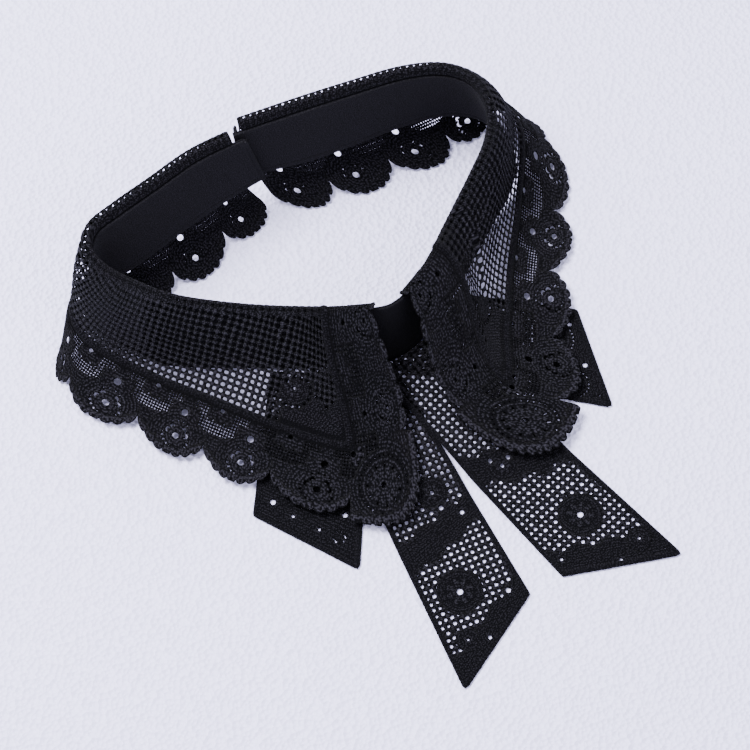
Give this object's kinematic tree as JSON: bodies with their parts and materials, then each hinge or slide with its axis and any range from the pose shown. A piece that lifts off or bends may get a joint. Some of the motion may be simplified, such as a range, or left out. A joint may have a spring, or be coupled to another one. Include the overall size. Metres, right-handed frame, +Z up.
{
  "type": "lace collar",
  "caption": "Detachable lace collar: a standing neck band with scalloped lace falls turned down over it and ribbon ends at the front, lying open on a surface.",
  "frame": {"origin": "centre of the collar's footprint, at the level of the surface it rests on", "axes": "+Z up through the neck opening; the front of the collar, with the ribbon ends, points to -Y; the closure at centre back is at +Y; +X is to the right of somebody facing the front"},
  "size_m": [0.2101, 0.2229, 0.0513],
  "materials": {
    "band_outer": "matt plain weave",
    "band_lining": "matt knitted lining",
    "net_left": "square net lace",
    "net_right": "square net lace",
    "border_left": "embroidered lace border",
    "border_right": "embroidered lace border",
    "cord_left": "plain raised thread",
    "cord_right": "plain raised thread",
    "tail_left": "square net lace",
    "tail_right": "square net lace",
    "wing_left": "close net lace",
    "wing_right": "close net lace",
    "edging_tail_left": "bound edge",
    "edging_tail_right": "bound edge",
    "edging_wing_left": "bound edge",
    "edging_wing_right": "bound edge"
  },
  "bodies": {
    "root": {"band_outer": "band_outer", "band_lining": "band_lining", "net_left": "net_left", "net_right": "net_right", "border_left": "border_left", "border_right": "border_right", "cord_left": "cord_left", "cord_right": "cord_right", "tail_left": "tail_left", "tail_right": "tail_right", "wing_left": "wing_left", "wing_right": "wing_right", "edging_tail_left": "edging_tail_left", "edging_tail_right": "edging_tail_right", "edging_wing_left": "edging_wing_left", "edging_wing_right": "edging_wing_right"}
  },
  "joints": []
}
